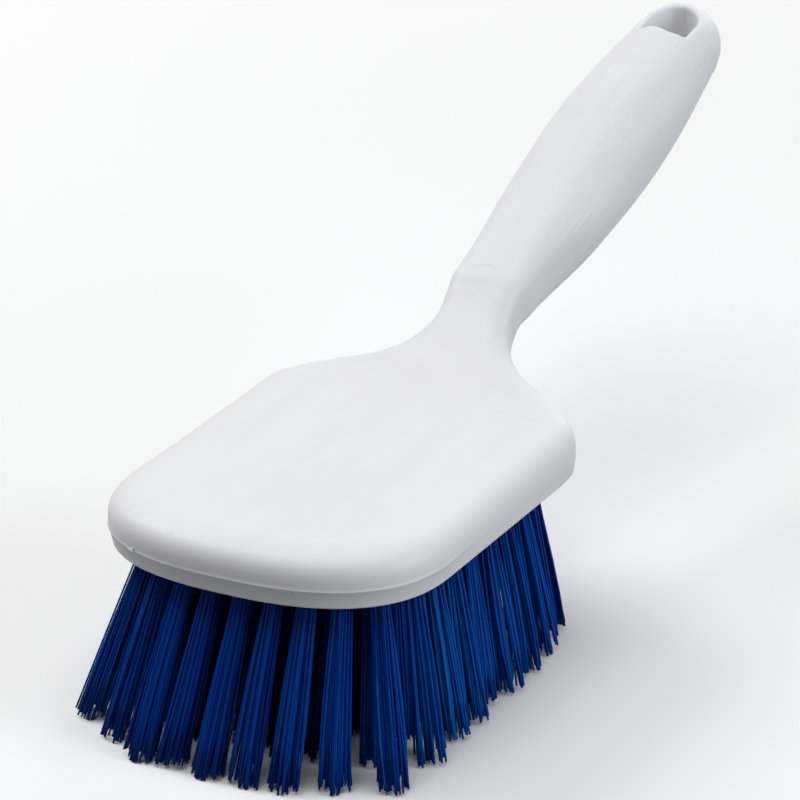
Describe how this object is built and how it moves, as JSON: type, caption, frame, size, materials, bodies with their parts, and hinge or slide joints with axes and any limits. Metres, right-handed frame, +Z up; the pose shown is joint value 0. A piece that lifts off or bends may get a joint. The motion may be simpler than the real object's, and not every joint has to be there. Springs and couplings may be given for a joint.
{
  "type": "hand brush",
  "caption": "Short-handled scrubbing brush: a broad flat head with flared bristle tufts below, a waisted neck and an upswept oval grip that ends in a hang hole.",
  "frame": {"origin": "on the surface that the bristle tips stand on, under the middle of the brush's bounding box", "axes": "+Y from the head to the end of the grip, +X across the head, +Z up from the bristle tips to the top of the head"},
  "size_m": [0.0996, 0.2626, 0.1147],
  "materials": {
    "body_plastic": "moulded white polypropylene, satin, with a fine parting line round the head",
    "bristle": "extruded blue polyester filament, cut square at the tips"
  },
  "bodies": {
    "root": {"brush_body": "body_plastic", "tuft_row_01": "bristle", "tuft_row_02": "bristle", "tuft_row_03": "bristle", "tuft_row_04": "bristle", "tuft_row_05": "bristle", "tuft_row_06": "bristle", "tuft_row_07": "bristle", "tuft_row_08": "bristle", "tuft_row_09": "bristle"}
  },
  "joints": []
}
